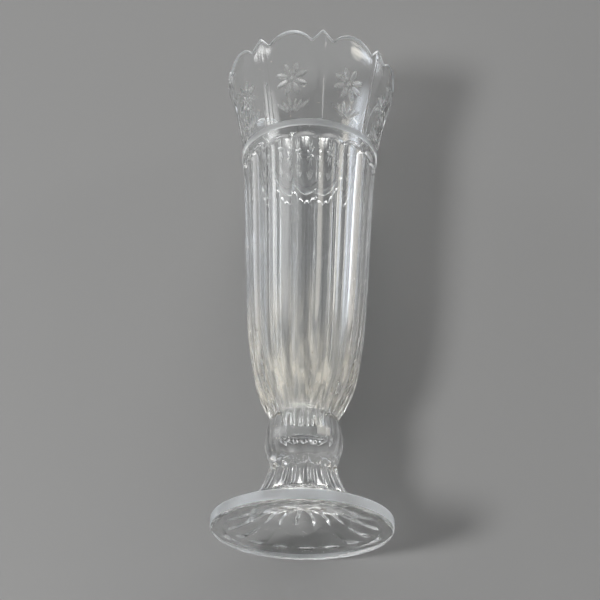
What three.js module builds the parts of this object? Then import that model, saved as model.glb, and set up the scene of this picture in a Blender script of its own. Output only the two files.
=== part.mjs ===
// A footed bud vase in clear pressed glass: a fluted bowl with a flared, scalloped mouth, a faceted
// knop, a fluted stem and a round foot. The four pieces are made apart and fused end to end while hot,
// and the bowl's hollow goes on down into the knop.
// Millimetres, +Z up. The origin is the centre of the plane that the foot rests on, and one of the
// rim's pointed lobes is on the -Y side.
import * as THREE from "three";

// --- Driving dimensions ------------------------------------------------------------------------

const HEIGHT = 251; // to the top of the rim's lobes

// Planes where the pieces are fused, as heights above the resting plane.
const FOOT_TO_STEM = 12;
const STEM_TO_KNOP = 31.5;
const KNOP_TO_BOWL = 54.5;

// Outside radii.
const FOOT_RADIUS = 41.8;
const STEM_BASE_RADIUS = 24.5;
const STEM_TOP_RADIUS = 15.4;
const KNOP_RADIUS = 18.3;
const BOWL_BASE_RADIUS = 15.8;
const LEDGE_RADIUS = 34.8;
const RIM_RADIUS = 43.7;

const FOOT_EDGE_THICKNESS = 5.8;
const FOOT_CORNER_RADIUS = 1.2;
const REST_RING_INNER_RADIUS = 36.4;
const RECESS_DEPTH = 10.5; // under the middle of the foot
const WELL_RADIUS = 10.6; // of the hollow where it goes from the bowl into the knop
const RIM_THICKNESS = 2.6;

// The ledge: a raised band with bevelled edges, between the flutes' arched tops and the flared mouth.
const LEDGE_TOP = 202.5;
const LEDGE_BOTTOM = 198.6;
const LEDGE_SWELL = 0.5;
const LEDGE_BEVEL = 0.5; // height of each bevel, inside the band's own

const FLUTES = 16; // round the bowl and the stem, and as many facets round the knop
const FLUTE_TOP = 195.2;
const FLUTE_ARCH_RISE = 2.2; // from a flute's sides to its middle
const FLUTE_END = 1.6; // height over which the end of a flute rises out of the glass

// How deep the hollows between ridges are in their middle, as a share of the local radius.
const BOWL_FLUTE_DEPTH = 0.045;
const STEM_FLUTE_DEPTH = 0.1;
const MOUTH_PANEL_DEPTH = 0.014;
const KNOP_FACET_DEPTH = 1 - Math.cos(Math.PI / FLUTES); // a flat facet
const FOOT_FLUTE_DEPTH = 0.9; // in millimetres, of the flutes that go on over the foot's top
const FOOT_FLUTE_END = 38; // the radius where they have faded out
const RUN_OUT = 4; // flutes and facets fade out over this height before a fused end, which is round

const LOBES = 8; // round lobes of the rim, with a pointed lobe between each two
const POINTED_HALF_ANGLE = THREE.MathUtils.degToRad(7.5);
const NOTCH_HEIGHT = 244.5; // where a round and a pointed lobe meet
const LOBES_START = 236; // the lobes are drawn up from the plain wall above this height

// Outside and inside lines, as [radius, height], over the ridges where there are ridges.
const FOOT_UNDERSIDE = [
  [0, RECESS_DEPTH],
  [3, 10.2],
  [15, 7.2],
  [25, 3.8],
  [32, 1.9],
  [35.6, 1.2],
  [REST_RING_INNER_RADIUS, 0],
];
const FOOT_TOP = [
  [FOOT_RADIUS - FOOT_CORNER_RADIUS, FOOT_EDGE_THICKNESS],
  [33.2, 7.4],
  [28.4, 9.5],
  [STEM_BASE_RADIUS, FOOT_TO_STEM],
];
const STEM_SIDE = [
  [STEM_BASE_RADIUS, FOOT_TO_STEM],
  [21, 16.8],
  [17.6, 24],
  [STEM_TOP_RADIUS, STEM_TO_KNOP],
];
const KNOP_SIDE = [
  [STEM_TOP_RADIUS, STEM_TO_KNOP],
  [17.6, 37],
  [KNOP_RADIUS, 43],
  [17.7, 49],
  [BOWL_BASE_RADIUS, KNOP_TO_BOWL],
];
const KNOP_WELL = [
  [WELL_RADIUS, KNOP_TO_BOWL],
  [11, 50],
  [11.2, 45.5],
  [9.5, 42.3],
  [5, 41.2],
  [0, 41],
];
const BOWL_SIDE_BELOW_LEDGE = [
  [BOWL_BASE_RADIUS, KNOP_TO_BOWL],
  [23.1, 69.5],
  [27.2, 90],
  [29.5, 115],
  [31.8, 157],
  [33.7, FLUTE_TOP - FLUTE_ARCH_RISE - FLUTE_END],
];
const BOWL_SIDE_AT_LEDGE = [
  [33.8, 192.7],
  [33.8, 193.6],
  [33.9, 194.4],
  [33.9, FLUTE_TOP],
  [34.1, LEDGE_BOTTOM],
  [34.1, LEDGE_BOTTOM + LEDGE_BEVEL],
  [34.3, LEDGE_TOP - LEDGE_BEVEL],
];
const BOWL_SIDE_ABOVE_LEDGE = [
  [LEDGE_RADIUS - LEDGE_SWELL, LEDGE_TOP],
  [38.9, 225],
  [43.2, 241],
  [RIM_RADIUS, HEIGHT - RIM_THICKNESS / 2],
];
const BOWL_INSIDE = [
  [RIM_RADIUS - RIM_THICKNESS, HEIGHT - RIM_THICKNESS / 2],
  [40.6, 241],
  [36, 225],
  [31.3, 200],
  [28.6, 172],
  [27, 145],
  [25.4, 115],
  [22.7, 90],
  [17.2, 72],
  [12.6, 62],
  [WELL_RADIUS, KNOP_TO_BOWL],
];

// Columns round a piece, a multiple of 2 * FLUTES, so that each ridge and hollow has its own column.
// The bowl's are also spaced so that the rim's tips and notches fall on a column.
const COLUMNS = 64;
const BOWL_COLUMNS = 96;

// --- Tools -------------------------------------------------------------------------------------

const clearGlass = () =>
  new THREE.MeshStandardMaterial({
    color: 0xe9eeee,
    roughness: 0.04,
    metalness: 0,
    transparent: true,
    opacity: 0.35,
  });

const toVectors = (points) => points.map(([radius, height]) => new THREE.Vector2(radius, height));

// A smooth line through the points, with `steps` spans between each two.
function smoothLine(points, steps) {
  return new THREE.SplineCurve(toVectors(points)).getPoints(steps * (points.length - 1));
}

// Part of a circle in the profile plane, between two angles in degrees from the outward direction.
function arc(radius, height, size, from, to, steps) {
  return Array.from({ length: steps + 1 }, (_, step) => {
    const angle = THREE.MathUtils.degToRad(from + ((to - from) * step) / steps);
    return new THREE.Vector2(radius + size * Math.cos(angle), height + size * Math.sin(angle));
  });
}

// The angle from the nearest of `count` marks spaced evenly round the axis, one of them at `first`.
function fromNearestMark(angle, count, first = 0) {
  const pitch = (2 * Math.PI) / count;
  return angle - first - pitch * Math.round((angle - first) / pitch);
}

// 1 in the middle of a hollow and 0 on the ridges at its sides, for `count` hollows round the axis.
function hollow(angle, count, firstRidge = 0) {
  const halfPitch = Math.PI / count;
  return 1 - (1 - Math.abs(fromNearestMark(angle, count, firstRidge)) / halfPitch) ** 2;
}

// How much of a flute's or facet's depth is left at a height: none at the piece's fused ends.
function runOut(height, lowEnd, highEnd = Infinity) {
  return THREE.MathUtils.clamp(Math.min(height - lowEnd, highEnd - height) / RUN_OUT, 0, 1);
}

// A turned piece whose surface is then reshaped: reshape(radius, height, angle) gives each point's
// new radius and height. The angle is from -Y towards +X.
function turnedPiece(name, profile, columns, reshape = (radius, height) => [radius, height]) {
  const geometry = new THREE.LatheGeometry(profile, columns);
  const position = geometry.getAttribute("position");
  for (let i = 0; i < position.count; i += 1) {
    const angle = Math.atan2(position.getX(i), position.getZ(i));
    const turnedRadius = Math.hypot(position.getX(i), position.getZ(i));
    const [radius, height] = reshape(turnedRadius, position.getY(i), angle);
    position.setXYZ(i, radius * Math.sin(angle), height, radius * Math.cos(angle));
  }
  geometry.rotateX(Math.PI / 2);
  const mesh = new THREE.Mesh(geometry, clearGlass());
  mesh.name = name;
  return mesh;
}

// --- The four pieces ---------------------------------------------------------------------------

// The foot: a disc with an upright edge, a flat ring that it rests on and a coned recess inside that.
// The stem's flutes go on over its top, as far out as FOOT_FLUTE_END.
function makeFoot() {
  const inset = FOOT_RADIUS - FOOT_CORNER_RADIUS;
  const profile = [
    ...toVectors(FOOT_UNDERSIDE),
    ...arc(inset, FOOT_CORNER_RADIUS, FOOT_CORNER_RADIUS, -90, 0, 3),
    ...arc(inset, FOOT_EDGE_THICKNESS - FOOT_CORNER_RADIUS, FOOT_CORNER_RADIUS, 0, 90, 3),
    ...smoothLine(FOOT_TOP, 2).slice(1),
    new THREE.Vector2(0, FOOT_TO_STEM),
  ];
  return turnedPiece("foot", profile, COLUMNS, (radius, height, angle) => {
    const onTop = height > FOOT_EDGE_THICKNESS ? 1 : 0;
    const fadeOut = THREE.MathUtils.clamp((FOOT_FLUTE_END - radius) / 8, 0, 1);
    const fadeIn = THREE.MathUtils.clamp((radius - STEM_BASE_RADIUS) / 2, 0, 1);
    return [radius, height - FOOT_FLUTE_DEPTH * onTop * fadeOut * fadeIn * hollow(angle, FLUTES)];
  });
}

// The stem: a fluted column that spreads towards the foot.
function makeStem() {
  const profile = [
    new THREE.Vector2(0, FOOT_TO_STEM),
    ...smoothLine(STEM_SIDE, 2),
    new THREE.Vector2(0, STEM_TO_KNOP),
  ];
  return turnedPiece("stem", profile, COLUMNS, (radius, height, angle) => {
    const depth = STEM_FLUTE_DEPTH * runOut(height, FOOT_TO_STEM, STEM_TO_KNOP);
    return [radius * (1 - depth * hollow(angle, FLUTES)), height];
  });
}

// The knop: a round-bellied collar of flat facets, whose edges stand between the bowl's ridges, with
// the bottom of the bowl's hollow inside it.
function makeKnop() {
  const profile = [
    new THREE.Vector2(0, STEM_TO_KNOP),
    ...smoothLine(KNOP_SIDE, 2),
    ...smoothLine(KNOP_WELL, 1),
  ];
  const firstRidge = Math.PI / FLUTES;
  const middleOfWall = (WELL_RADIUS + STEM_TOP_RADIUS) / 2;
  return turnedPiece("knop", profile, COLUMNS, (radius, height, angle) => {
    if (radius < middleOfWall) return [radius, height];
    const depth = KNOP_FACET_DEPTH * runOut(height, STEM_TO_KNOP, KNOP_TO_BOWL);
    return [radius * (1 - depth * hollow(angle, FLUTES, firstRidge)), height];
  });
}

// Height of the rim at an angle: a pointed lobe at each mark, and a round one in between.
function rimHeight(angle) {
  const fromPoint = Math.abs(fromNearestMark(angle, LOBES));
  const rise = HEIGHT - NOTCH_HEIGHT;
  if (fromPoint < POINTED_HALF_ANGLE) {
    return HEIGHT - (rise * fromPoint) / POINTED_HALF_ANGLE;
  }
  const halfWidth = (Math.PI / LOBES - POINTED_HALF_ANGLE) * RIM_RADIUS;
  const lobeRadius = (halfWidth ** 2 + rise ** 2) / (2 * rise);
  const fromMiddle = (Math.PI / LOBES - fromPoint) * RIM_RADIUS;
  return HEIGHT - lobeRadius + Math.sqrt(lobeRadius ** 2 - fromMiddle ** 2);
}

// How deep the bowl's outside is hollowed, as a share of its radius: in flutes that end in round arches
// below the ledge, and in the mouth's panels above it.
function bowlHollow(height, angle) {
  if (height > LEDGE_TOP - LEDGE_BEVEL) {
    const fade = Math.min(1, (height - LEDGE_TOP + LEDGE_BEVEL) / LEDGE_BEVEL);
    return MOUTH_PANEL_DEPTH * fade * hollow(angle, LOBES);
  }
  const share = hollow(angle, FLUTES);
  const fluteTop = FLUTE_TOP - FLUTE_ARCH_RISE * (1 - share);
  const fade = THREE.MathUtils.clamp((fluteTop - height) / FLUTE_END, 0, 1);
  return BOWL_FLUTE_DEPTH * fade * runOut(height, KNOP_TO_BOWL) * share;
}

// How far the ledge stands out at a height.
function ledgeSwell(height) {
  const fromEdge = Math.min(height - LEDGE_BOTTOM, LEDGE_TOP - height);
  return LEDGE_SWELL * THREE.MathUtils.clamp(fromEdge / LEDGE_BEVEL, 0, 1);
}

// The radius that a rising line has at a height, and its last radius above its end.
function radiusAt(line, height) {
  const next = line.findIndex((point) => point.y > height);
  if (next === -1) return line.at(-1).x;
  if (next === 0) return line[0].x;
  const [low, high] = [line[next - 1], line[next]];
  return THREE.MathUtils.lerp(low.x, high.x, (height - low.y) / (high.y - low.y));
}

// The bowl: a tube, fluted outside up to a ledge, with eight dished panels and the scalloped rim above
// it. Its profile closes on itself, because the hollow goes right through it.
function makeBowl() {
  const lipRadius = RIM_THICKNESS / 2;
  const lip = arc(RIM_RADIUS - lipRadius, HEIGHT - lipRadius, lipRadius, 0, 180, 4);
  const outside = [
    ...smoothLine(BOWL_SIDE_BELOW_LEDGE, 2),
    ...toVectors(BOWL_SIDE_AT_LEDGE),
    ...smoothLine(BOWL_SIDE_ABOVE_LEDGE, 2),
  ];
  const inside = smoothLine(BOWL_INSIDE, 1);
  const profile = [inside.at(-1).clone(), ...outside, ...lip.slice(1, -1), ...inside];
  return turnedPiece("bowl", profile, BOWL_COLUMNS, (radius, height, angle) => {
    const isOutside = radius > radiusAt(outside, height) - lipRadius;
    const depth = isOutside ? bowlHollow(height, angle) : 0;
    const swell = isOutside ? ledgeSwell(height) : 0;
    const stretch = (rimHeight(angle) - LOBES_START) / (HEIGHT - LOBES_START);
    const aboveStart = Math.max(0, height - LOBES_START);
    return [radius * (1 - depth) + swell, height - aboveStart * (1 - stretch)];
  });
}

const vase = new THREE.Group();
vase.name = "bud_vase";
vase.add(makeFoot(), makeStem(), makeKnop(), makeBowl());

export default vase;
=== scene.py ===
"""The looks of a footed bud vase in clear pressed glass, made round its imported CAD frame.

Each of the four glass pieces is rebuilt as a fine surface on the same heights and radii: a foot, a
fluted stem, a faceted knop and a fluted bowl, whose flared mouth has eight engraved panels and a
scalloped rim. Shapes are worked out in millimetres, from the CAD pieces' boxes, and built in metres.
Angles round the axis run from -Y towards +X, and a pointed lobe of the rim is at angle 0.
"""

import math

import bmesh
import bpy
import numpy as np
from mathutils import Matrix, Vector


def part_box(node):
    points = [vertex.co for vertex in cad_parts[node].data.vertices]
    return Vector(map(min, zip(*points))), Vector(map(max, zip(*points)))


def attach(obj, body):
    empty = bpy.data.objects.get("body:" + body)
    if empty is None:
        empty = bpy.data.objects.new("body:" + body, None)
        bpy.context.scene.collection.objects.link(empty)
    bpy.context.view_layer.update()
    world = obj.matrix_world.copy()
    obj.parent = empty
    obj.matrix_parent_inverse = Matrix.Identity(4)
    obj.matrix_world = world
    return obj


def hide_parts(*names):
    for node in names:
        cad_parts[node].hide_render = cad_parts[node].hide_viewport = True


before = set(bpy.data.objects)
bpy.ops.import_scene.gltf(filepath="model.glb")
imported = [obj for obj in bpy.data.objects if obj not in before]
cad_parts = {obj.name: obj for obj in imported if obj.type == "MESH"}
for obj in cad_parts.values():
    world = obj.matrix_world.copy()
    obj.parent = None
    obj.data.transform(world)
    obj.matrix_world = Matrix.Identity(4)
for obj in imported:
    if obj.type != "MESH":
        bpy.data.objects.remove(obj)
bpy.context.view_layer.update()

MM = 0.001  # metres

# --- Dimensions, in millimetres ----------------------------------------------------------------


def box_mm(node):
    """The lowest and highest corner of a CAD node, in millimetres."""
    low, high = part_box(node)
    return low / MM, high / MM


FOOT_TO_STEM = box_mm("stem")[0].z
STEM_TO_KNOP = box_mm("knop")[0].z
KNOP_TO_BOWL = box_mm("bowl")[0].z
HEIGHT = box_mm("bowl")[1].z
FOOT_RADIUS = box_mm("foot")[1].x
STEM_BASE_RADIUS = box_mm("stem")[1].x
RIM_RADIUS = box_mm("bowl")[1].x

STEM_TOP_RADIUS = 15.4
KNOP_RADIUS = 18.3
BOWL_BASE_RADIUS = 15.8
FOOT_EDGE_THICKNESS = 5.8
FOOT_CORNER_RADIUS = 1.2
REST_RING_INNER_RADIUS = 36.4
RIM_THICKNESS = 2.6

# The ledge is a raised band with bevelled edges, above the flutes' arched tops and below the mouth.
LEDGE_TOP = 202.5
LEDGE_BOTTOM = 198.6
LEDGE_RADIUS = 34.8
LEDGE_SWELL = 0.5  # how far the band stands out
LEDGE_BEVEL = 0.5  # height of each bevel, inside the band's own
FLUTE_TOP = 195.2
FLUTE_ARCH_RISE = 2.2
FLUTE_END = 1.6  # height over which a flute's end comes out of the glass

FLUTES = 16
BOWL_FLUTE_DEPTH = 0.045  # as a share of the local radius, and so are the next two
STEM_FLUTE_DEPTH = 0.1
KNOP_FACET_DEPTH = 1 - math.cos(math.pi / FLUTES)  # flat facets
RUN_OUT = 4.0  # flutes and facets fade out over this height before a fused end, which is round
FOOT_FLUTE_DEPTH = 0.9  # in millimetres, on the foot's top
FOOT_FLUTE_END = 38.0  # radius
FOOT_FLUTE_FADES = (2.0, 8.0)  # widths over which they start at the stem and run out at the end

LOBES = 8
POINTED_HALF_ANGLE = math.radians(7.5)
NOTCH_HEIGHT = 244.5
LOBES_START = 236.0
RIB_HALF_WIDTH = 1.1  # of the flat ribs between the mouth's panels
PANEL_STEP = 0.45  # how far a panel lies inside its ribs
PANEL_EDGE = 0.4  # width of the step
PANEL_DISH = 0.25  # how far a panel's middle lies inside its edges

# Engraving on each panel: a daisy, and a spray of leaves below it.
DAISY_HEIGHT = 224.5
DAISY_PETALS = 8
DAISY_EYE_RADIUS = 1.3
PETAL_REACH = (2.2, 8.6)  # from the daisy's middle
PETAL_HALF_WIDTH = 1.45
SPRAY_HEIGHT = 205.4
SPRAY_LEAVES = [  # turn from upright in degrees, and reach from the spray's root
    (-50, 2.4, 10.4),
    (-33, 2.0, 8.8),
    (-11, 2.2, 9.8),
    (13, 2.0, 8.8),
    (33, 2.0, 9.2),
    (50, 2.4, 11.4),
]
LEAF_HALF_WIDTH = 0.8
GROOVE_DEPTH = 0.5  # of a cut as wide as a petal
LEAST_CUT = 0.03  # depth from which a face counts as cut
ENGRAVING_MARGIN = 0.5  # round the cuts, where the mesh is made finer too
SURFACE_TOLERANCE = 0.3  # how near the bowl's outside a point has to be to count as on it
WALL_MIDDLE = 1.5  # depth that parts the outside of the mouth's wall from its inside

# Profiles, as (radius, height) points that smooth lines run through.
FOOT_UNDERSIDE = [
    (0, 10.5),
    (3, 10.2),
    (15, 7.2),
    (25, 3.8),
    (32, 1.9),
    (35.6, 1.2),
    (REST_RING_INNER_RADIUS, 0),
]
FOOT_TOP = [
    (FOOT_RADIUS - FOOT_CORNER_RADIUS, FOOT_EDGE_THICKNESS),
    (33.2, 7.4),
    (28.4, 9.5),
    (STEM_BASE_RADIUS, FOOT_TO_STEM),
]
STEM_SIDE = [
    (STEM_BASE_RADIUS, FOOT_TO_STEM),
    (21, 16.8),
    (17.6, 24),
    (STEM_TOP_RADIUS, STEM_TO_KNOP),
]
KNOP_SIDE = [
    (STEM_TOP_RADIUS, STEM_TO_KNOP),
    (17.6, 37),
    (KNOP_RADIUS, 43),
    (17.7, 49),
    (BOWL_BASE_RADIUS, KNOP_TO_BOWL),
]
BOWL_SIDE_BELOW_LEDGE = [
    (BOWL_BASE_RADIUS, KNOP_TO_BOWL),
    (23.1, 69.5),
    (27.2, 90),
    (29.5, 115),
    (31.8, 157),
    (34.1, LEDGE_BOTTOM),
]
BOWL_SIDE_ABOVE_LEDGE = [
    (LEDGE_RADIUS - LEDGE_SWELL, LEDGE_TOP),
    (38.9, 225),
    (43.2, 241),
    (RIM_RADIUS, HEIGHT - RIM_THICKNESS / 2),
]
WELL_TOP_RADIUS = 10.6
BOWL_INSIDE = [
    (RIM_RADIUS - RIM_THICKNESS, HEIGHT - RIM_THICKNESS / 2),
    (40.6, 241),
    (36, 225),
    (31.3, 200),
    (28.6, 172),
    (27, 145),
    (25.4, 115),
    (22.7, 90),
    (17.2, 72),
    (12.6, 62),
    (WELL_TOP_RADIUS, KNOP_TO_BOWL),
]
WELL = [
    (WELL_TOP_RADIUS, KNOP_TO_BOWL),
    (11, 50),
    (11.2, 45.5),
    (9.5, 42.3),
    (5, 41.2),
    (0, 41),
]

# Spacing of the mesh's rows along the profiles.
UNDERSIDE_ROWS = 1.0
CURVED_ROWS = 0.6  # on the foot's top, the stem and the knop
FLUTED_ROWS = 3.8  # along the bowl's flutes, which are nearly straight
LEDGE_ROWS = 0.36  # on the ledge and the flutes' arches below it
MOUTH_ROWS = 1.2
INSIDE_ROWS = 5.0
CORNER_STEPS = 8  # round the foot's corners
LIP_STEPS = 12  # round the rim

# --- Lines and sections ------------------------------------------------------------------------


def smooth_line(points, spacing):
    """A Catmull-Rom line through (radius, height) points, with rows about `spacing` apart."""
    points = np.array(points, float)
    last = len(points) - 1
    rows = []
    for i in range(last):
        before, start = points[max(i - 1, 0)], points[i]
        end, after = points[i + 1], points[min(i + 2, last)]
        leave, arrive = (end - before) / 2, (after - start) / 2
        steps = max(2, round(float(np.linalg.norm(end - start)) / spacing))
        for t in np.arange(steps) / steps:
            rows.append(
                (2 * start - 2 * end + leave + arrive) * t**3
                + (3 * end - 3 * start - 2 * leave - arrive) * t**2
                + leave * t
                + start
            )
    rows.append(points[last])
    return np.array(rows)


def straight_line(points, spacing):
    """A line of straight stretches through (radius, height) points."""
    rows = []
    for start, end in zip(points[:-1], points[1:]):
        steps = max(1, round(math.dist(start, end) / spacing))
        rows += [np.array(start) + (np.array(end) - start) * i / steps for i in range(steps)]
    return np.array([*rows, points[-1]])


def arc(radius, height, size, first, last, steps):
    """Part of a circle in the profile plane, between two angles in degrees from outward."""
    angles = np.radians(np.linspace(first, last, steps + 1))
    return np.stack([radius + size * np.cos(angles), height + size * np.sin(angles)], 1)


def from_nearest_mark(angle, count, first=0.0):
    """The angle from the nearest of `count` evenly spaced marks, one of them at `first`."""
    pitch = 2 * math.pi / count
    return angle - first - pitch * np.round((angle - first) / pitch)


def hollow(angle, count, first_ridge=0.0, rounding=0.06):
    """0 on the ridges and 1 midway between them, with the ridges softly rounded over."""
    across = np.abs(from_nearest_mark(angle, count, first_ridge)) * count / math.pi
    plain = 1 - (1 - across) ** 2 - rounding
    rounded = (1 - rounding) * across**2 / rounding
    return np.where(across < rounding, rounded, plain) / (1 - rounding)


def smooth_step(x):
    """A soft step from 0 to 1 as x goes from 0 to 1."""
    x = np.clip(x, 0, 1)
    return x * x * (3 - 2 * x)


def run_out(height, low_end, high_end=math.inf):
    """How much of a flute's or facet's depth is left: none at a piece's fused, round ends."""
    return smooth_step(np.minimum(height - low_end, high_end - height) / RUN_OUT)


def column_angles(first_ridge=0.0):
    """Angles of a piece's columns: close together at the ridges, and wider apart between them."""
    half = np.array([0, 0.03, 0.06, 0.1, 0.145, 0.19, 0.25, 0.32, 0.4, 0.5, 0.61, 0.73, 0.86])
    across = np.concatenate([half, [1.0], 2 - half[:0:-1]])
    ridges = np.arange(FLUTES)[:, None]
    return ((ridges + across / 2) * 2 * math.pi / FLUTES + first_ridge).ravel()


# --- Building meshes ---------------------------------------------------------------------------


def turned_mesh(name, rows, reshape=None, first_ridge=0.0):
    """A closed mesh from profile rows, (radius, height), with the glass on the line's left.

    The profile starts and ends on the axis, or its last row joins up with its first. What
    reshape(radius, height, angle, row) gives is each point's new radius and height.
    """
    angles = column_angles(first_ridge)
    count = len(angles)
    ends_on_axis = [row[0] == 0 for row in (rows[0], rows[-1])]
    rings = rows[rows[:, 0] > 0]
    radius = rings[:, 0:1] + 0 * angles
    height = rings[:, 1:2] + 0 * angles
    if reshape is not None:
        radius, height = reshape(radius, height, angles[None, :], np.arange(len(rings))[:, None])
    points = np.stack([radius * np.sin(angles), -radius * np.cos(angles), height], 2).reshape(-1, 3)
    points = np.concatenate([points, [[0, 0, rows[0, 1]], [0, 0, rows[-1, 1]]]])
    first_pole, last_pole = len(points) - 2, len(points) - 1
    columns = [(a, (a + 1) % count) for a in range(count)]
    last_ring = (len(rings) - 1) * count
    faces = []
    for low in range(0, last_ring, count):
        faces += [(low + a, low + b, low + count + b, low + count + a) for a, b in columns]
    if any(ends_on_axis):
        faces += [(first_pole, b, a) for a, b in columns]
        faces += [(last_pole, last_ring + a, last_ring + b) for a, b in columns]
    else:
        points = points[:-2]
        faces += [(last_ring + a, last_ring + b, b, a) for a, b in columns]
    mesh = bpy.data.meshes.new(name)
    mesh.from_pydata((points * MM).tolist(), [], faces)
    return mesh


def cylinder_coordinates(places):
    """Radius and height, in millimetres, and angle of places in metres."""
    x, y, z = places.reshape(-1, 3).T / MM
    return np.hypot(x, y), z, np.arctan2(x, -y)


def point_places(mesh):
    """Radius, height and angle of each of a mesh's points."""
    places = np.empty(len(mesh.vertices) * 3)
    mesh.vertices.foreach_get("co", places)
    return cylinder_coordinates(places)


def face_centres(mesh):
    """Radius, height and angle of each face's centre."""
    places = np.empty(len(mesh.polygons) * 3)
    mesh.polygons.foreach_get("center", places)
    return cylinder_coordinates(places)


def move_points(mesh, radius, height, angle):
    """Puts each of a mesh's points at a radius, height and angle."""
    points = np.stack([radius * np.sin(angle), -radius * np.cos(angle), height], 1) * MM
    mesh.vertices.foreach_set("co", points.ravel())
    mesh.update()


def set_slot(mesh, chosen, slot):
    """Gives the chosen faces one of the piece's materials."""
    for i in np.flatnonzero(chosen):
        mesh.polygons[i].material_index = slot


def mark_joints(mesh, *heights):
    """Gives the flat fused ends the joint material, and makes their outlines sharp."""
    joint_edges, side_edges = set(), set()
    for face in mesh.polygons:
        at_end = any(abs(face.center.z / MM - height) < 0.001 for height in heights)
        if at_end and abs(face.normal.z) > 0.999:
            face.material_index = JOINT_SLOT
            joint_edges.update(face.edge_keys)
        else:
            side_edges.update(face.edge_keys)
    outlines = joint_edges & side_edges
    for edge in mesh.edges:
        edge.use_edge_sharp = edge.key in outlines


def add_piece(mesh, node, materials):
    """Puts a finished mesh in the scene as the shown form of a CAD node."""
    piece = bpy.data.objects.new(mesh.name, mesh)
    bpy.context.scene.collection.objects.link(piece)
    for material in materials:
        mesh.materials.append(material)
    mesh.shade_smooth()
    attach(piece, "root")
    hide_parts(node)
    return piece


# --- Materials ---------------------------------------------------------------------------------

# Each piece's material slots, after its main one, which is clear glass.
JOINT_SLOT = 1
CUT_SLOT = 2
# satin glass with a painted highlight, on the foot's edge and the rim's lip
SATIN_HIGHLIGHT_SLOT = 3
# the ledge's band, with a fainter painted highlight
LEDGE_HIGHLIGHT_SLOT = 4

GLASS_COLOUR = (0.985, 0.995, 0.995, 1)
GLASS_IOR = 1.53  # of crystal
# The satin's bluish tint and its bluish-white scatter are painted highlight, standing in for the cool
# light these edges catch.
SATIN_PAINTED_TINT = (0.96, 0.985, 1, 1)
PAINTED_HIGHLIGHT_COLOUR = (0.86, 0.92, 0.97, 1)
# Cream of the dust specks, and of the painted reflection streaks low in the bowl.
SPECK_AND_PAINTED_REFLECTION_COLOUR = (0.9, 0.85, 0.73, 1)
SMUDGE_ROUGHNESS = (0.008, 0.06)  # least and most, and so in the pairs below
GRINDING_ROUGHNESS = (0.22, 0.5)
SATIN_ROUGHNESS = (0.3, 0.55)

# Shares of matt scatter mixed into the glass: painted cream reflection streaks, dust specks, and
# painted highlights on the edges and the ledge.
STREAK_SHARE = (0.02, 0.34)
SPECK_SHARE = (0, 0.6)
EDGE_PAINTED_HIGHLIGHT_SHARE = (0, 0.16)
LEDGE_PAINTED_HIGHLIGHT_SHARE = (0, 0.04)

STREAK_FADE_IN = (0.056, 0.064)  # heights in metres between which the painted reflection streaks start, over the knop
STREAK_FADE_OUT = (0.07, 0.125)  # and between which they end, up in the bowl
SPECK_RADIUS = (0.07, 0.11)  # of the full dot and of its faded edge, in cells

# Waves or cells of each pattern, to the metre.
SPECK_GROUP_WAVES = 45
SMUDGE_WAVES = 60
PAINTED_HIGHLIGHT_WAVES = 90
SATIN_WAVES = 160
STREAK_WAVES = 260
SPECK_CELLS = 300
GRINDING_WAVES = 900


def glass_shader(name):
    """A material of clear glass, and its node tree, to which the surface's own marks and any painted
    reflection and highlight are added.
    """
    material = bpy.data.materials.new(name)
    material.use_nodes = True
    shader = material.node_tree.nodes["Principled BSDF"]
    shader.inputs["Base Color"].default_value = GLASS_COLOUR
    shader.inputs["Transmission Weight"].default_value = 1
    shader.inputs["IOR"].default_value = GLASS_IOR
    return material, material.node_tree, shader


def object_noise(tree, scale, detail=2.0, stretch=(1, 1, 1)):
    """Smooth noise fixed to the piece, `scale` waves to the metre."""
    place = tree.nodes.new("ShaderNodeTexCoord")
    mapping = tree.nodes.new("ShaderNodeMapping")
    mapping.inputs["Scale"].default_value = stretch
    noise = tree.nodes.new("ShaderNodeTexNoise")
    noise.inputs["Scale"].default_value = scale
    noise.inputs["Detail"].default_value = detail
    tree.links.new(place.outputs["Object"], mapping.inputs["Vector"])
    tree.links.new(mapping.outputs["Vector"], noise.inputs["Vector"])
    return noise.outputs["Fac"]


def remap(tree, value, from_low, from_high, to_low, to_high):
    """A value moved from one range to another, and held inside it."""
    node = tree.nodes.new("ShaderNodeMapRange")
    for socket, number in (
        ("From Min", from_low),
        ("From Max", from_high),
        ("To Min", to_low),
        ("To Max", to_high),
    ):
        node.inputs[socket].default_value = number
    tree.links.new(value, node.inputs["Value"])
    return node.outputs["Result"]


def height_of_point(tree):
    """Height above the foot, in metres."""
    place = tree.nodes.new("ShaderNodeTexCoord")
    parts = tree.nodes.new("ShaderNodeSeparateXYZ")
    tree.links.new(place.outputs["Object"], parts.inputs["Vector"])
    return parts.outputs["Z"]


def combine(tree, operation, first, second):
    """Two values joined by a math operation."""
    node = tree.nodes.new("ShaderNodeMath")
    node.operation = operation
    tree.links.new(first, node.inputs[0])
    tree.links.new(second, node.inputs[1])
    return node.outputs["Value"]


def add_matt_scatter(tree, shader, share, colour):
    """Mixes some matt scatter into the surface."""
    scatter = tree.nodes.new("ShaderNodeBsdfDiffuse")
    scatter.inputs["Color"].default_value = colour
    mix = tree.nodes.new("ShaderNodeMixShader")
    tree.links.new(share, mix.inputs["Fac"])
    tree.links.new(shader.outputs["BSDF"], mix.inputs[1])
    tree.links.new(scatter.outputs["BSDF"], mix.inputs[2])
    tree.links.new(mix.outputs["Shader"], tree.nodes["Material Output"].inputs["Surface"])


def painted_reflection_streaks(tree):
    """Share of painted cream reflection, in upright streaks low in the bowl."""
    low = remap(tree, height_of_point(tree), *STREAK_FADE_OUT, 1, 0)
    above_knop = remap(tree, height_of_point(tree), *STREAK_FADE_IN, 0, 1)
    upright_noise = object_noise(tree, STREAK_WAVES, stretch=(1, 1, 0.05))
    streaks = remap(tree, upright_noise, 0.45, 0.66, *STREAK_SHARE)
    return combine(tree, "MULTIPLY", combine(tree, "MULTIPLY", low, above_knop), streaks)


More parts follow.
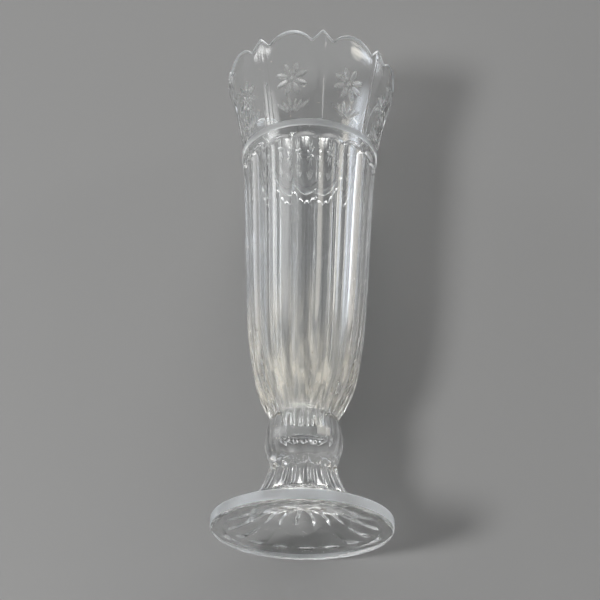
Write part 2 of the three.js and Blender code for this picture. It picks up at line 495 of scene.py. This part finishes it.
def specks(tree):
    """Share of the light that dust and dried droplets catch: small dots, in loose groups."""
    place = tree.nodes.new("ShaderNodeTexCoord")
    cells = tree.nodes.new("ShaderNodeTexVoronoi")
    cells.inputs["Scale"].default_value = SPECK_CELLS
    tree.links.new(place.outputs["Object"], cells.inputs["Vector"])
    full, edge = SPECK_RADIUS
    dots = remap(tree, cells.outputs["Distance"], edge, full, *SPECK_SHARE)
    groups = remap(tree, object_noise(tree, SPECK_GROUP_WAVES), 0.5, 0.6, 0, 1)
    return combine(tree, "MULTIPLY", dots, groups)


def clear_glass():
    """Polished pressed glass: colourless, with faint smudges, dust specks, and painted cream
    reflection streaks low in the bowl.
    """
    material, tree, shader = glass_shader("clear_glass")
    smudges = remap(tree, object_noise(tree, SMUDGE_WAVES), 0.5, 0.75, *SMUDGE_ROUGHNESS)
    tree.links.new(smudges, shader.inputs["Roughness"])
    # dust specks and painted reflection streaks, mixed in as cream matt scatter
    marks = combine(tree, "MAXIMUM", painted_reflection_streaks(tree), specks(tree))
    add_matt_scatter(tree, shader, marks, SPECK_AND_PAINTED_REFLECTION_COLOUR)
    return material


def cut_glass():
    """Engraving, left unpolished: fine grinding that scatters light."""
    material, tree, shader = glass_shader("cut_glass")
    grinding = remap(tree, object_noise(tree, GRINDING_WAVES), 0.3, 0.7, *GRINDING_ROUGHNESS)
    tree.links.new(grinding, shader.inputs["Roughness"])
    return material


def satin_highlight_glass(name, highlight_share):
    """Glass rubbed to a soft satin by use; its bluish tint and patchy bluish-white scatter are a
    painted highlight.
    """
    material, tree, shader = glass_shader(name)
    shader.inputs["Base Color"].default_value = SATIN_PAINTED_TINT
    rubbing = remap(tree, object_noise(tree, SATIN_WAVES, detail=4), 0.3, 0.7, *SATIN_ROUGHNESS)
    tree.links.new(rubbing, shader.inputs["Roughness"])
    # painted highlight: patchy bluish-white matt scatter
    painted_highlight = remap(tree, object_noise(tree, PAINTED_HIGHLIGHT_WAVES, detail=4), 0.3, 0.7, *highlight_share)
    add_matt_scatter(tree, shader, painted_highlight, PAINTED_HIGHLIGHT_COLOUR)
    return material


def fused_joint():
    """Where two pieces are fused there is no surface, so light goes straight through."""
    material = bpy.data.materials.new("fused_joint")
    material.use_nodes = True
    tree = material.node_tree
    tree.nodes.clear()
    output = tree.nodes.new("ShaderNodeOutputMaterial")
    transparent = tree.nodes.new("ShaderNodeBsdfTransparent")
    tree.links.new(transparent.outputs["BSDF"], output.inputs["Surface"])
    return material


# --- The glass pieces --------------------------------------------------------------------------


def make_foot(materials):
    """The round foot: a coned recess inside its rest ring, and flutes that run out over its top."""
    corner = FOOT_CORNER_RADIUS
    inset = FOOT_RADIUS - corner
    top = FOOT_EDGE_THICKNESS - corner
    rows = np.concatenate([
        smooth_line(FOOT_UNDERSIDE[:-1], UNDERSIDE_ROWS),
        [FOOT_UNDERSIDE[-1]],
        arc(inset, corner, corner, -90, 0, CORNER_STEPS),
        arc(inset, top, corner, 0, 90, CORNER_STEPS),
        smooth_line(FOOT_TOP, CURVED_ROWS)[1:],
        [(0, FOOT_TO_STEM)],
    ])

    def flute(radius, height, angle, row):
        start_fade, end_fade = FOOT_FLUTE_FADES
        start = smooth_step((radius - STEM_BASE_RADIUS) / start_fade)
        end = smooth_step((FOOT_FLUTE_END - radius) / end_fade)
        cut = FOOT_FLUTE_DEPTH * start * end * hollow(angle, FLUTES)
        return radius, height - np.where(height > FOOT_EDGE_THICKNESS, cut, 0)

    mesh = turned_mesh("vase_foot", rows, flute)
    mark_joints(mesh, FOOT_TO_STEM)
    radius, height, angle = face_centres(mesh)
    on_edge = (radius > FOOT_RADIUS - corner / 2) & (height > corner / 2) & (height < top + corner / 2)
    # the foot's edge: satin glass with a painted highlight
    set_slot(mesh, on_edge, SATIN_HIGHLIGHT_SLOT)
    return add_piece(mesh, "foot", materials)


def make_stem(materials):
    """The short fluted column between the foot and the knop."""
    rows = np.concatenate([
        [(0, FOOT_TO_STEM)],
        smooth_line(STEM_SIDE, CURVED_ROWS),
        [(0, STEM_TO_KNOP)],
    ])

    def flute(radius, height, angle, row):
        depth = STEM_FLUTE_DEPTH * run_out(height, FOOT_TO_STEM, STEM_TO_KNOP)
        return radius * (1 - depth * hollow(angle, FLUTES)), height

    mesh = turned_mesh("vase_stem", rows, flute)
    mark_joints(mesh, FOOT_TO_STEM, STEM_TO_KNOP)
    return add_piece(mesh, "stem", materials)


def make_knop(materials):
    """The faceted knop, with the end of the bowl's hollow in it."""
    first_ridge = math.pi / FLUTES
    side = smooth_line(KNOP_SIDE, CURVED_ROWS)
    rows = np.concatenate([[(0, STEM_TO_KNOP)], side, smooth_line(WELL, CURVED_ROWS)])

    def facet(radius, height, angle, row):
        depth = KNOP_FACET_DEPTH * run_out(height, STEM_TO_KNOP, KNOP_TO_BOWL) * (row < len(side))
        return radius * (1 - depth * hollow(angle, FLUTES, first_ridge)), height

    mesh = turned_mesh("vase_knop", rows, facet, first_ridge)
    mark_joints(mesh, STEM_TO_KNOP, KNOP_TO_BOWL)
    return add_piece(mesh, "knop", materials)


def rim_height(angle):
    """Height of the rim: a pointed lobe at each mark and a round one between, softly joined."""
    from_point = np.abs(from_nearest_mark(angle, LOBES))
    rise = HEIGHT - NOTCH_HEIGHT
    soft = math.radians(0.8)
    pointed = -rise * (np.hypot(from_point, soft) - soft) / (POINTED_HALF_ANGLE - soft)
    half_width = (math.pi / LOBES - POINTED_HALF_ANGLE) * RIM_RADIUS
    lobe_radius = (half_width**2 + rise**2) / (2 * rise)
    from_middle = (math.pi / LOBES - from_point) * RIM_RADIUS
    rounded = np.sqrt(np.maximum(lobe_radius**2 - from_middle**2, 0)) - lobe_radius
    blend = 0.35
    return HEIGHT + blend * np.log(np.exp(pointed / blend) + np.exp(rounded / blend))


def flute_cut(radius, height, angle):
    """Depth of the bowl's flutes, which end under the ledge in round arches."""
    share = hollow(angle, FLUTES)
    end = FLUTE_TOP - FLUTE_ARCH_RISE * (1 - share)
    left = smooth_step((end - height) / FLUTE_END) * run_out(height, KNOP_TO_BOWL)
    return radius * BOWL_FLUTE_DEPTH * share * left


def off_rib(radius, angle):
    """0 on the flat ribs that part the panels, and 1 on the panels."""
    from_rib = np.abs(from_nearest_mark(angle, LOBES)) * radius
    return smooth_step((from_rib - RIB_HALF_WIDTH) / PANEL_EDGE)


def ledge_swell(height):
    """How far the ledge's band stands out."""
    from_edge = np.minimum(height - LEDGE_BOTTOM, LEDGE_TOP - height)
    return LEDGE_SWELL * np.clip(from_edge / LEDGE_BEVEL, 0, 1)


def panel_cut(radius, height, angle):
    """How far the mouth's panels lie inside the ribs between them."""
    above = smooth_step((height - LEDGE_TOP + LEDGE_BEVEL) / LEDGE_BEVEL)
    return above * (PANEL_STEP * off_rib(radius, angle) + PANEL_DISH * hollow(angle, LOBES))


def outside_radius(radius, height, angle):
    """The bowl's outside, from the radius of its turned form, without the engraving."""
    cuts = flute_cut(radius, height, angle) + panel_cut(radius, height, angle)
    return radius + ledge_swell(height) - cuts


def groove(across, up, start, end, half_width):
    """Depth of one lens-shaped cut, V-shaped in section, from start to end on the panel."""
    start, end = np.array(start), np.array(end)
    length = np.linalg.norm(end - start)
    ahead = (end - start) / length
    along = ((across - start[0]) * ahead[0] + (up - start[1]) * ahead[1]) / length
    aside = np.abs((across - start[0]) * ahead[1] - (up - start[1]) * ahead[0])
    width = half_width * np.sqrt(np.clip(4 * along * (1 - along), 0, 1))
    return np.where(width > 0.02, np.maximum(width - aside, 0), 0) * GROOVE_DEPTH / PETAL_HALF_WIDTH


def ray_groove(across, up, centre, turn, reach, half_width):
    """A cut that points away from `centre`, `turn` degrees from upright."""
    direction = np.array([math.sin(math.radians(turn)), math.cos(math.radians(turn))])
    start, end = np.array(centre) + direction * reach[0], np.array(centre) + direction * reach[1]
    return groove(across, up, start, end, half_width)


def engraving(radius, height, angle):
    """Depth of the engraving on the mouth's panels: a daisy, with a spray of leaves below it."""
    across = from_nearest_mark(angle, LOBES, math.pi / LOBES) * radius
    up = height - DAISY_HEIGHT
    eye = np.maximum(DAISY_EYE_RADIUS - np.hypot(across, up), 0) * GROOVE_DEPTH / DAISY_EYE_RADIUS
    cuts = [eye]
    for petal in range(DAISY_PETALS):
        turn = 360 * (petal + 0.5) / DAISY_PETALS
        cuts.append(ray_groove(across, up, (0, 0), turn, PETAL_REACH, PETAL_HALF_WIDTH))
    for turn, near, far in SPRAY_LEAVES:
        centre = (0, SPRAY_HEIGHT - DAISY_HEIGHT)
        cuts.append(ray_groove(across, up, centre, turn, (near, far), LEAF_HALF_WIDTH))
    return np.max(cuts, axis=0)


def profile_radius(outside, height):
    """Radius of the bowl's turned form at each height, from the rows of its outside."""
    return np.interp(height, outside[:, 1], outside[:, 0])


def refine_for_engraving(mesh, outside):
    """Divides the faces that the engraving comes near, so that its cuts have clean edges."""
    radius, height, angle = face_centres(mesh)
    on_outside = radius > profile_radius(outside, height) - WALL_MIDDLE
    on_panels = (height > LEDGE_TOP + 1) & (height < LOBES_START)
    near = np.zeros(len(radius), bool)
    for shift_across in (-ENGRAVING_MARGIN, 0, ENGRAVING_MARGIN):
        for shift_up in (-ENGRAVING_MARGIN, 0, ENGRAVING_MARGIN):
            near |= engraving(radius, height + shift_up, angle + shift_across / radius) > 0
    fine = bmesh.new()
    fine.from_mesh(mesh)
    fine.faces.ensure_lookup_table()
    chosen = np.flatnonzero(on_outside & on_panels & near)
    edges = {edge for i in chosen for edge in fine.faces[i].edges}
    bmesh.ops.subdivide_edges(
        fine, edges=sorted(edges, key=lambda edge: edge.index), cuts=2, use_grid_fill=True
    )
    fine.to_mesh(mesh)
    fine.free()


def engrave(mesh, outside):
    """Cuts the engraving into the bowl's outside, and gives the cuts their own material."""
    refine_for_engraving(mesh, outside)
    radius, height, angle = point_places(mesh)
    turned = profile_radius(outside, height)
    smooth = outside_radius(turned, height, angle)
    depth = engraving(turned, height, angle)
    on_panels = (height > LEDGE_TOP) & (height < LOBES_START)
    cut = (np.abs(radius - smooth) < SURFACE_TOLERANCE) & (depth > 0) & on_panels
    move_points(mesh, np.where(cut, smooth - depth, radius), height, angle)

    radius, height, angle = face_centres(mesh)
    turned = profile_radius(outside, height)
    on_panels = (height > LEDGE_TOP) & (height < LOBES_START)
    cut = engraving(turned, height, angle) > LEAST_CUT
    set_slot(mesh, (radius > turned - WALL_MIDDLE) & on_panels & cut, CUT_SLOT)


def bowl_outside():
    """Rows of the bowl's outside, closer together on the ledge and the flutes' arches."""
    fine_start = FLUTE_TOP - FLUTE_ARCH_RISE - 2
    below = smooth_line(BOWL_SIDE_BELOW_LEDGE, FLUTED_ROWS)
    below = below[below[:, 1] < fine_start]
    above = smooth_line(BOWL_SIDE_ABOVE_LEDGE, MOUTH_ROWS)
    fine = straight_line([below[-1], BOWL_SIDE_BELOW_LEDGE[-1], above[0], above[1]], LEDGE_ROWS)
    return np.concatenate([below, fine[1:-1], above[1:]])


def make_bowl(materials):
    """The fluted bowl with its ledge, engraved mouth and scalloped rim, open down into the knop."""
    lip = RIM_THICKNESS / 2
    outside = bowl_outside()
    rounding = arc(RIM_RADIUS - lip, HEIGHT - lip, lip, 0, 180, LIP_STEPS)[1:-1]
    rows = np.concatenate([outside, rounding, smooth_line(BOWL_INSIDE, INSIDE_ROWS)])

    def shape(radius, height, angle, row):
        shaped = np.where(row < len(outside), outside_radius(radius, height, angle), radius)
        stretch = (rim_height(angle) - LOBES_START) / (HEIGHT - LOBES_START)
        above_start = np.maximum(0, height - LOBES_START)
        return shaped, height - above_start * (1 - stretch)

    mesh = turned_mesh("vase_bowl", rows, shape)
    radius, height, angle = face_centres(mesh)
    row = np.arange(len(height)) // len(column_angles())
    on_lip = (row >= len(outside) - 1) & (row <= len(outside) + len(rounding) - 1)
    on_band = (height > LEDGE_BOTTOM) & (height < LEDGE_TOP) & (row < len(outside))
    # the rim's lip and the ledge's band: satin glass with painted highlights
    set_slot(mesh, on_lip, SATIN_HIGHLIGHT_SLOT)
    set_slot(mesh, on_band, LEDGE_HIGHLIGHT_SLOT)
    engrave(mesh, outside)
    mark_joints(mesh, KNOP_TO_BOWL)
    return add_piece(mesh, "bowl", materials)


# --- Stage, light and camera -------------------------------------------------------------------

VIEW_AZIMUTH = math.radians(-7.2)  # of the camera round the axis, from -Y
VIEW_ELEVATION = math.radians(-27.8)  # below the foot's plane, looking up along the vase
VIEW_DISTANCE = 2.907  # in heights of the vase
VIEW_AIM = 0.4725  # height of the point in the middle of the picture, in heights of the vase
VIEW_ROLL = -0.0225  # radians
VIEW_SIDESTEP = 0.0132  # how far left of the axis the camera aims, in heights of the vase
VIEW_LENS = 89.4  # millimetres, on Blender's usual 36 mm sensor

STAGE_SIZE = 8.0  # metres
NEAR_STAGE_SIZE = 0.5  # metres: how much of the lying floor the glass shows
STAGE_GAP = 0.0002  # metres, so that the vase and the floor never share a plane
LOW_TOUCH = FOOT_EDGE_THICKNESS / 2  # millimetres: heights at which the vase lies on the floor
HIGH_TOUCH = 244.0
RIM_CLEARANCE = 0.1  # millimetres, between the rim's lobes and the lying floor
FLOOR_SHADE = (0.2, 0.2, 0.197)

KEY_PLACE = (-0.95, -0.94, -0.3)  # metres, to the camera's left
KEY_TARGET = (0, 0, 0.12)
KEY_SIZE = 0.3  # metres
KEY_POWER = 16  # watts
SURROUNDINGS = (0.45, 0.45, 0.46)  # the studio's even light
GLOWS = [  # direction, degrees of full strength and of reach, colour, strength
    ((0, -0.1, 1), 6, 22, (1, 0.99, 0.97), 20),
    ((-1, -0.3, 0.5), 3, 14, (1, 1, 1), 4),
    ((1, -0.3, 0.5), 3, 14, (0.85, 0.91, 1), 4.5),
    ((0.85, -0.6, 0.45), 5, 9, (1, 0.95, 0.85), 4),
]


def away_from_camera():
    """The level direction from the camera to the vase."""
    return Vector((-math.sin(VIEW_AZIMUTH), math.cos(VIEW_AZIMUTH), 0))


def make_camera():
    """A camera that looks up along the vase from below its foot."""
    height = HEIGHT * MM
    right = Vector((math.cos(VIEW_AZIMUTH), math.sin(VIEW_AZIMUTH), 0))
    aim = Vector((0, 0, VIEW_AIM * height)) - right * VIEW_SIDESTEP * height
    ahead = away_from_camera() * math.cos(VIEW_ELEVATION) - Vector((0, 0, math.sin(VIEW_ELEVATION)))
    data = bpy.data.cameras.new("camera")
    data.lens = VIEW_LENS
    data.dof.use_dof = False
    data.clip_start = 0.01
    camera = bpy.data.objects.new("camera", data)
    bpy.context.scene.collection.objects.link(camera)
    camera.rotation_mode = "QUATERNION"
    roll = Matrix.Rotation(VIEW_ROLL, 3, ahead)
    camera.rotation_quaternion = roll.to_quaternion() @ ahead.to_track_quat("-Z", "Y")
    camera.location = aim - ahead * VIEW_DISTANCE * height
    bpy.context.scene.camera = camera


def pale_paint(name, shade):
    """Matt pale paint that shows from its front only, so the stage never hides the vase."""
    material = bpy.data.materials.new(name)
    material.use_nodes = True
    nodes, links = material.node_tree.nodes, material.node_tree.links
    shader = nodes["Principled BSDF"]
    shader.inputs["Base Color"].default_value = (*shade, 1)
    shader.inputs["Roughness"].default_value = 0.6
    shader.inputs["Specular IOR Level"].default_value = 0.2
    front = nodes.new("ShaderNodeNewGeometry")
    clear = nodes.new("ShaderNodeBsdfTransparent")
    mix = nodes.new("ShaderNodeMixShader")
    links.new(front.outputs["Backfacing"], mix.inputs[0])
    links.new(shader.outputs["BSDF"], mix.inputs[1])
    links.new(clear.outputs["BSDF"], mix.inputs[2])
    links.new(mix.outputs["Shader"], nodes["Material Output"].inputs["Surface"])
    return material


def stage_plane(name, centre, normal, size, material):
    """A square of floor."""
    mesh = bpy.data.meshes.new(name)
    half = size / 2
    corners = [(-half, -half, 0), (half, -half, 0), (half, half, 0), (-half, half, 0)]
    mesh.from_pydata(corners, [], [(0, 1, 2, 3)])
    mesh.materials.append(material)
    plane = bpy.data.objects.new(name, mesh)
    bpy.context.scene.collection.objects.link(plane)
    plane.rotation_mode = "QUATERNION"
    plane.rotation_quaternion = normal.to_track_quat("Z", "Y")
    plane.location = centre
    return plane


def hide_from(plane, *rays):
    """Keeps a plane out of some kinds of light ray."""
    for ray in rays:
        setattr(plane, "visible_" + ray, False)


def make_stage():
    """The floor that the vase lies on, as seen by the camera, and a level one for other views."""
    paint = pale_paint("pale_floor", FLOOR_SHADE)
    away = away_from_camera()
    upright = Vector((0, 0, 1))
    low = (away * FOOT_RADIUS + upright * LOW_TOUCH) * MM
    high = (away * (RIM_RADIUS + RIM_CLEARANCE) + upright * HIGH_TOUCH) * MM
    along = (high - low).normalized()
    normal = along.cross(upright.cross(away)).normalized()
    if normal.dot(away) > 0:
        normal.negate()
    middle = (low + high) / 2 - normal * STAGE_GAP
    wide = stage_plane("lying_floor", middle, normal, STAGE_SIZE, paint)
    near = stage_plane("lying_floor_near", middle, normal, NEAR_STAGE_SIZE, paint)
    level = stage_plane("standing_floor", upright * -STAGE_GAP, upright, STAGE_SIZE, paint)
    hide_from(wide, "diffuse", "glossy", "transmission", "volume_scatter", "shadow")
    hide_from(near, "camera", "shadow")
    hide_from(level, "diffuse", "volume_scatter", "shadow")


def make_key_light():
    """A small soft light, which gives the vase its shadow on the floor."""
    data = bpy.data.lights.new("key", "AREA")
    data.shape = "DISK"
    data.size = KEY_SIZE
    data.energy = KEY_POWER
    light = bpy.data.objects.new("key", data)
    light.location = KEY_PLACE
    light.rotation_mode = "QUATERNION"
    aim = Vector(KEY_TARGET) - Vector(KEY_PLACE)
    light.rotation_quaternion = aim.to_track_quat("-Z", "Y")
    light.visible_camera = False
    bpy.context.scene.collection.objects.link(light)


def glow(tree, direction, inner, outer, colour, strength):
    """A soft round glow towards `direction`, whole within `inner` degrees and gone at `outer`."""
    place = tree.nodes.new("ShaderNodeTexCoord")
    dot = tree.nodes.new("ShaderNodeVectorMath")
    dot.operation = "DOT_PRODUCT"
    dot.inputs[1].default_value = Vector(direction).normalized()
    tree.links.new(place.outputs["Generated"], dot.inputs[0])
    edge, full = math.cos(math.radians(outer)), math.cos(math.radians(inner))
    spread = remap(tree, dot.outputs["Value"], edge, full, 0, strength)
    spread.node.interpolation_type = "SMOOTHSTEP"
    tint = tree.nodes.new("ShaderNodeVectorMath")
    tint.operation = "SCALE"
    tint.inputs[0].default_value = colour
    tree.links.new(spread, tint.inputs["Scale"])
    return tint.outputs["Vector"]


def make_surroundings():
    """The studio as the glass shows it: even light, with a few soft glows."""
    world = bpy.data.worlds.new("studio")
    world.use_nodes = True
    tree = world.node_tree
    light = None
    for spec in GLOWS:
        add = tree.nodes.new("ShaderNodeVectorMath")
        add.operation = "ADD"
        add.inputs[0].default_value = SURROUNDINGS
        if light is not None:
            tree.links.new(light, add.inputs[0])
        tree.links.new(glow(tree, *spec), add.inputs[1])
        light = add.outputs["Vector"]
    tree.links.new(light, tree.nodes["Background"].inputs["Color"])
    bpy.context.scene.world = world


# --- The scene ---------------------------------------------------------------------------------

bpy.context.scene.view_settings.view_transform = "Standard"

glasses = [
    clear_glass(),
    fused_joint(),
    cut_glass(),
    # satin edges and the ledge's band, with painted highlights
    satin_highlight_glass("satin_highlight_glass", EDGE_PAINTED_HIGHLIGHT_SHARE),
    satin_highlight_glass("ledge_highlight_glass", LEDGE_PAINTED_HIGHLIGHT_SHARE),
]
make_foot(glasses)
make_stem(glasses)
make_knop(glasses)
make_bowl(glasses)
make_stage()
make_key_light()
make_surroundings()
make_camera()

# Light passes through many walls of glass before it leaves the vase.
cycles = bpy.context.scene.cycles
cycles.max_bounces = 32
cycles.transmission_bounces = 32
cycles.glossy_bounces = 12
cycles.transparent_max_bounces = 32
